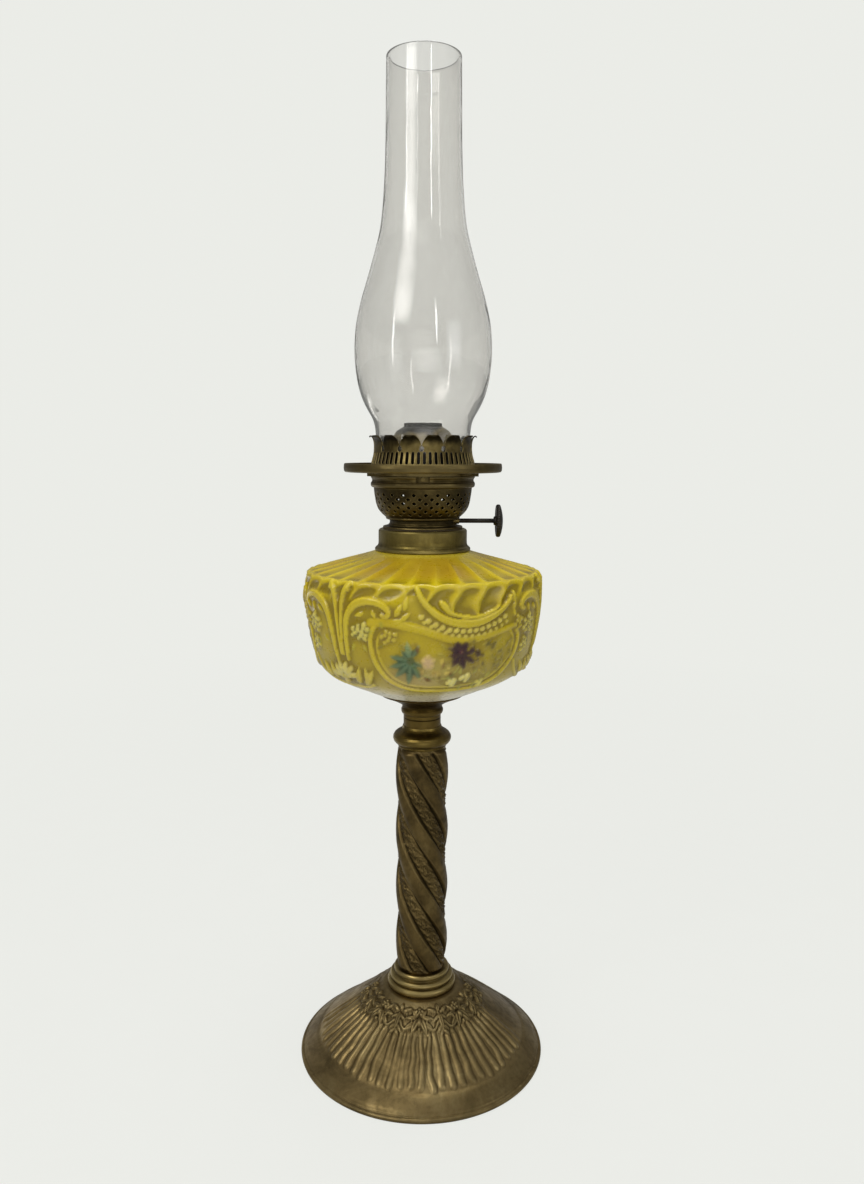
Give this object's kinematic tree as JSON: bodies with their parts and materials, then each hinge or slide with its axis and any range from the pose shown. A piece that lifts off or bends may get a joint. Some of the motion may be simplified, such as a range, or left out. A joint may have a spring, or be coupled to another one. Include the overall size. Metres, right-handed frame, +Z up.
{
  "type": "table oil lamp",
  "caption": "Tall table oil lamp with a round fluted foot, twisted brass column, glazed ceramic font, flat-wick burner with winder, shade ring and glass chimney.",
  "frame": {"origin": "centre of the underside of the foot, on the table plane", "axes": "+Z up along the lamp's axis, +X towards the winder knob, -Y towards the front"},
  "size_m": [0.174, 0.174, 0.674],
  "materials": {
    "aged_brass": "satin, brown patina",
    "column_brass": "satin, dark patina",
    "burner_brass": "satin, oil-darkened",
    "worn_brass": "polished by handling",
    "steel": "dull, zinc grey",
    "iron": "rough casting",
    "baize": "matt felt",
    "majolica": "glossy coloured glaze",
    "plaster": "matt set plaster",
    "cork": "pressed cork",
    "cotton": "woven cotton, charred edge",
    "lamp_glass": "clear blown glass",
    "black_metal": "blackened, satin"
  },
  "bodies": {
    "stand": {"base_shell": "aged_brass", "base_weight": "iron", "base_felt": "baize", "tie_rod": "steel", "base_washer": "steel", "base_nut": "steel", "foot_ring": "worn_brass", "column": "column_brass", "capital_knop": "worn_brass", "rod_top_nut": "steel", "neck_socket": "column_brass", "font_cup": "burner_brass", "cup_cement": "plaster", "font": "majolica", "collar_plaster": "plaster", "font_collar": "worn_brass"},
    "gasket": {"burner_gasket": "cork"},
    "burner": {"burner_base": "burner_brass", "burner_basket": "burner_brass", "burner_band": "worn_brass", "wick_tube": "aged_brass", "feed_bracket": "burner_brass", "spindle_bush": "burner_brass"},
    "winder": {"winder_spindle": "steel", "feed_wheels": "aged_brass", "winder_knob": "black_metal"},
    "wick": {"wick": "cotton"},
    "gallery": {"gallery_floor": "burner_brass", "gallery_studs": "burner_brass", "coronet": "burner_brass", "shade_ring": "worn_brass", "ring_rivets": "worn_brass", "flame_dome": "aged_brass"},
    "chimney": {"chimney": "lamp_glass"}
  },
  "joints": [
    {"name": "burner_rise", "type": "slide", "parent": "stand", "child": "gasket", "axis": [0, 0, 1], "range_m": [0, 0.0065]},
    {"name": "burner_unscrew", "type": "hinge", "parent": "gasket", "child": "burner", "pos_m": [0, 0, 0.3778], "axis": [0, 0, 1], "range_deg": [0, 1440]},
    {"name": "winder_turn", "type": "hinge", "parent": "burner", "child": "winder", "pos_m": [0, -0.0056, 0.3826], "axis": [1, 0, 0], "range_deg": [-110, 110]},
    {"name": "wick_raise", "type": "slide", "parent": "burner", "child": "wick", "axis": [0, 0, 1], "range_m": [-0.0078, 0.0078]},
    {"name": "gallery_lift", "type": "slide", "parent": "burner", "child": "gallery", "axis": [0, 0, 1], "range_m": [0, 0.05]},
    {"name": "chimney_lift", "type": "slide", "parent": "gallery", "child": "chimney", "axis": [0, 0, 1], "range_m": [0, 0.27]}
  ],
  "couplings": [
    {"joint": "burner_rise", "follows": "burner_unscrew", "m_per_rad": 0.00025465},
    {"joint": "wick_raise", "follows": "winder_turn", "m_per_rad": 0.004}
  ]
}
